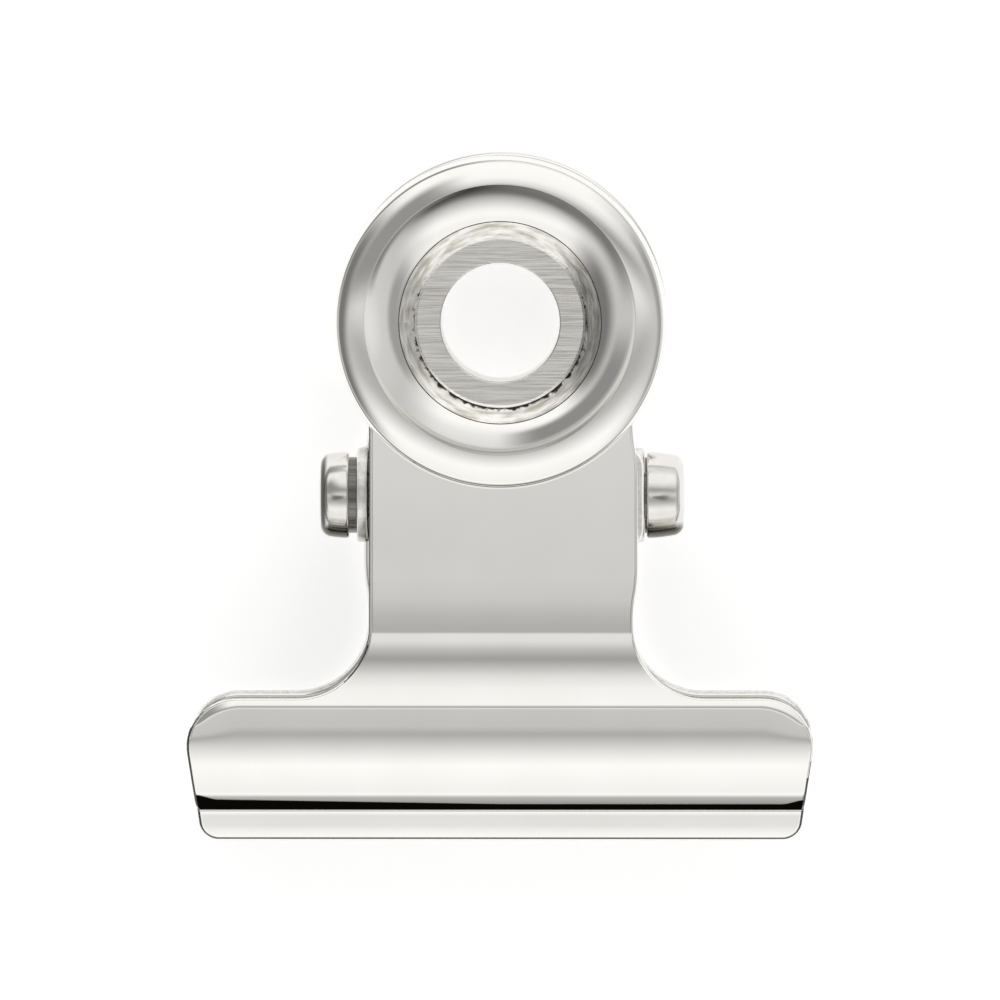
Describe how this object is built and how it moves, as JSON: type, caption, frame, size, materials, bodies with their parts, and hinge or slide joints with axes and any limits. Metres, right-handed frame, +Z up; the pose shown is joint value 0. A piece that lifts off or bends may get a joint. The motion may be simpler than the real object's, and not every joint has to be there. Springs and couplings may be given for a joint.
{
  "type": "bulldog clip",
  "caption": "Sprung bulldog clip: pressed metal leaves with round dished handles on a capped hinge pin, and a wide rounded jaw with flat lips that grip paper.",
  "frame": {"origin": "under the middle of the clip's box, on the surface it lies on", "axes": "+X along the hinge pin, +Y from the jaw to the disc handles, +Z up through the front leaf: the clip lies on its back"},
  "size_m": [0.032, 0.0352, 0.0097],
  "materials": {
    "polished_leaf": "mirror polished sheet, matt in the handle's recess",
    "pin_metal": "drawn bar, satin",
    "cap_metal": "turned and polished",
    "spring_wire": "plain spring wire"
  },
  "bodies": {
    "rear_half": {"rear_leaf": "polished_leaf", "hinge_pin": "pin_metal", "left_pin_cap": "cap_metal", "right_pin_cap": "cap_metal", "torsion_spring": "spring_wire"},
    "front_half": {"front_leaf": "polished_leaf"}
  },
  "joints": [
    {"name": "jaw_hinge", "type": "hinge", "parent": "rear_half", "child": "front_half", "pos_m": [0, 0.00006, 0.00484], "axis": [-1, 0, 0], "range_deg": [0, 20], "stiffness_Nm_per_rad": 0.08, "springref_deg": -5.73, "deforming": ["torsion_spring"]}
  ]
}
